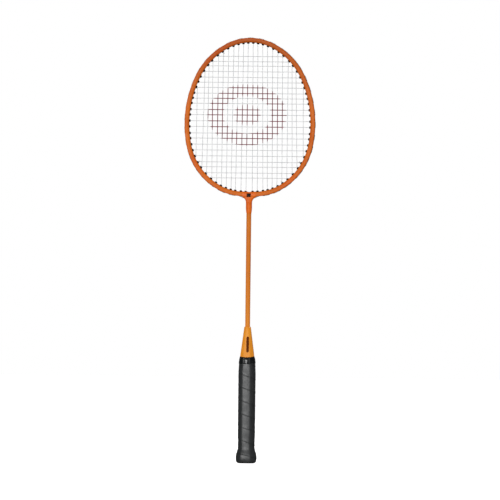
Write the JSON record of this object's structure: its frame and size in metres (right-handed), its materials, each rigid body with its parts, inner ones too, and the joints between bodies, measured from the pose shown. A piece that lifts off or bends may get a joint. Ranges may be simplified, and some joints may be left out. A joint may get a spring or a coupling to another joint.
{
  "type": "badminton racket",
  "caption": "Badminton racket with an oval tubular hoop, woven string bed, T-joint, slim round shaft, tapered cone and a wrapped octagonal grip with a flared butt.",
  "frame": {"origin": "centre of the flat butt end of the handle", "axes": "+Z along the shaft from the butt to the tip of the head, +X to the right across the string bed, Y through the string bed with the front face at -Y"},
  "size_m": [0.2065, 0.029, 0.6657],
  "materials": {
    "orange_enamel": "glossy orange enamel over steel tube, slightly darker along the edges",
    "orange_plastic": "moulded orange plastic, gloss",
    "amber_plastic": "lighter amber-orange moulded plastic, gloss",
    "bare_steel": "bare machined steel",
    "black_plastic": "black nylon, satin",
    "wood": "plain turned hardwood",
    "grip_black": "black synthetic grip tape, fine pebbled, semi-matte",
    "gloss_black_tape": "glossy black vinyl finishing tape",
    "sticker": "plain grey film label, satin",
    "string_white": "translucent white nylon string, with a plain printed ring in dark red ink"
  },
  "bodies": {
    "root": {"head_hoop": "orange_enamel", "shaft": "orange_enamel", "throat_cover": "orange_plastic", "throat_core": "bare_steel", "throat_badges": "black_plastic", "cone": "amber_plastic", "handle_core": "wood", "shaft_pin": "bare_steel", "butt_cap": "black_plastic", "butt_sticker": "sticker", "grip_tacks": "bare_steel", "grip_tape": "grip_black", "finishing_tape": "gloss_black_tape", "hoop_grommets": "black_plastic", "shared_grommets": "black_plastic", "throat_grommets": "black_plastic", "main_string": "string_white", "cross_string": "string_white"}
  },
  "joints": []
}
